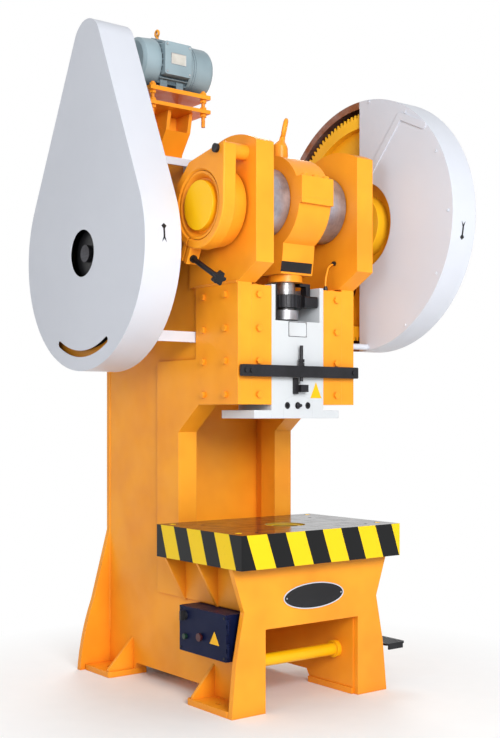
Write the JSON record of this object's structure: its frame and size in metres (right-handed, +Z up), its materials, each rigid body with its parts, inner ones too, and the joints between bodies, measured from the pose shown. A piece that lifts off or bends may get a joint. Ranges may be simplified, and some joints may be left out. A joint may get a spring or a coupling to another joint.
{
  "type": "mechanical stamping press",
  "caption": "C-frame crank press: a motor and flywheel drive a geared crankshaft, whose rod moves a guided ram over a thick slotless bed.",
  "frame": {"origin": "middle of the whole press's footprint, on the floor", "axes": "+X to the right as the operator faces the press, +Y from the operator to the back, +Z up"},
  "size_m": [1.342, 1.7437, 3.139],
  "materials": {
    "frame_paint": "semi-gloss orange enamel",
    "cheek_paint": "semi-gloss orange enamel",
    "ram_paint": "semi-gloss orange enamel",
    "slide_paint": "satin off-white enamel",
    "gear_paint": "golden yellow enamel",
    "guard_paint": "satin off-white enamel",
    "bolster_steel": "oiled ground steel with striped sides",
    "bright_steel": "turned steel",
    "black_steel": "blackened steel",
    "yellow_paint": "semi-gloss yellow enamel",
    "bronze": "machined bronze",
    "cast_grey": "cast iron",
    "motor_paint": "blue-grey enamel",
    "belt_rubber": "matte black rubber",
    "lining": "pressed brake lining",
    "box_paint": "dark blue enamel",
    "panel": "matte plastic",
    "black_plastic": "matte plastic",
    "green_plastic": "gloss plastic",
    "red_plastic": "gloss plastic"
  },
  "bodies": {
    "frame": {"side_plate_right": "frame_paint", "side_plate_left": "frame_paint", "doubler_plates": "frame_paint", "head_blocks": "frame_paint", "cross_plates": "frame_paint", "column_rear_plate": "frame_paint", "bed_front_plate": "frame_paint", "bed_ribs": "frame_paint", "foot_pads": "frame_paint", "tie_bar": "yellow_paint", "bolster": "bolster_steel", "frame_bolts": "frame_paint", "slide_guides": "cheek_paint", "knockout_bar": "black_steel", "knockout_screws": "black_steel", "crank_bushes": "bronze", "shaft_housings": "frame_paint", "belt_guard": "guard_paint", "gear_guard": "guard_paint", "guard_brackets": "guard_paint", "motor_bracket": "frame_paint", "motor_base": "frame_paint", "motor_studs": "frame_paint", "motor_body": "motor_paint", "fan_cowl": "motor_paint", "v_belts": "belt_rubber", "brake_casing": "frame_paint", "brake_lining": "lining", "brake_spindle": "black_steel", "control_box": "box_paint", "contactor_panel": "panel", "pedal_bracket": "black_steel"},
    "crank": {"crankshaft": "bright_steel", "clutch_collar": "bright_steel", "brake_drum": "frame_paint"},
    "conrod": {"conrod": "ram_paint", "conrod_cap": "ram_paint", "cap_bolts": "ram_paint", "big_end_bush": "bronze", "conrod_eye_bolt": "ram_paint", "ram_screw": "bright_steel", "ratchet_ring": "cast_grey", "screw_clamp": "black_steel", "ball_cup": "bright_steel"},
    "slide": {"slide": "slide_paint", "shank_clamp": "slide_paint", "slide_fittings": "black_steel"},
    "knockout": {"knockout_pin": "black_steel"},
    "gear": {"bull_gear": "gear_paint", "gear_bush": "bronze"},
    "flywheel": {"pinion_shaft": "bright_steel", "flywheel": "cast_grey"},
    "motor_rotor": {"motor_pulley": "cast_grey"},
    "pedal": {"pedal": "black_steel"},
    "pedal_rod": {"pedal_rod": "bright_steel"},
    "trip": {"trip_lever": "black_steel"},
    "door": {"control_door": "box_paint"},
    "switch": {"main_switch": "black_plastic"},
    "start": {"start_button": "green_plastic"},
    "stop": {"stop_button": "red_plastic"}
  },
  "joints": [
    {"name": "crank_turn", "type": "hinge", "parent": "frame", "child": "crank", "pos_m": [0.055, -0.2669, 2.2], "axis": [1, 0, 0], "range_deg": [0, 180]},
    {"name": "rod_swing", "type": "hinge", "parent": "crank", "child": "conrod", "pos_m": [0.055, -0.2669, 2.25], "axis": [1, 0, 0], "range_deg": [-180, 0]},
    {"name": "slide_stroke", "type": "slide", "parent": "frame", "child": "slide", "axis": [0, 0, 1], "range_m": [-0.1, 0]},
    {"name": "knockout_travel", "type": "slide", "parent": "slide", "child": "knockout", "axis": [0, 0, 1], "range_m": [0, 0.012]},
    {"name": "flywheel_spin", "type": "hinge", "parent": "frame", "child": "flywheel", "pos_m": [0.055, 0.3269, 2.03612], "axis": [1, 0, 0], "continuous": true},
    {"name": "gear_spin", "type": "hinge", "parent": "frame", "child": "gear", "pos_m": [0.055, -0.2669, 2.2], "axis": [1, 0, 0], "continuous": true},
    {"name": "motor_spin", "type": "hinge", "parent": "frame", "child": "motor_rotor", "pos_m": [0.055, 0.2881, 2.959], "axis": [1, 0, 0], "continuous": true},
    {"name": "pedal_press", "type": "hinge", "parent": "frame", "child": "pedal", "pos_m": [0.055, 0.2031, 0.2], "axis": [1, 0, 0], "range_deg": [0, 6]},
    {"name": "pedal_rod_swing", "type": "hinge", "parent": "pedal", "child": "pedal_rod", "pos_m": [0.055, 0.3031, 0.2], "axis": [1, 0, 0], "range_deg": [-6, 0]},
    {"name": "trip_swing", "type": "hinge", "parent": "frame", "child": "trip", "pos_m": [0.055, 0.2031, 1.8], "axis": [1, 0, 0], "range_deg": [0, 6]},
    {"name": "door_swing", "type": "hinge", "parent": "frame", "child": "door", "pos_m": [-0.377, -0.4152, 0.231], "axis": [0, 0, 1], "range_deg": [0, 110]},
    {"name": "switch_turn", "type": "hinge", "parent": "door", "child": "switch", "pos_m": [-0.385, -0.0989, 0.392], "axis": [1, 0, 0], "range_deg": [0, 90]},
    {"name": "start_press", "type": "slide", "parent": "door", "child": "start", "axis": [1, 0, 0], "range_m": [0, 0.005], "stiffness_N_per_m": 400},
    {"name": "stop_press", "type": "slide", "parent": "door", "child": "stop", "axis": [1, 0, 0], "range_m": [0, 0.007], "stiffness_N_per_m": 400}
  ],
  "couplings": [
    {"joint": "rod_swing", "follows": "crank_turn", "ratio": -1},
    {"joint": "slide_stroke", "follows": "crank_turn", "m_per_rad": -0.031831},
    {"joint": "gear_spin", "follows": "flywheel_spin", "ratio": -0.13235},
    {"joint": "motor_spin", "follows": "flywheel_spin", "ratio": 5.4891},
    {"joint": "pedal_rod_swing", "follows": "pedal_press", "ratio": -1},
    {"joint": "trip_swing", "follows": "pedal_press", "ratio": 1}
  ]
}
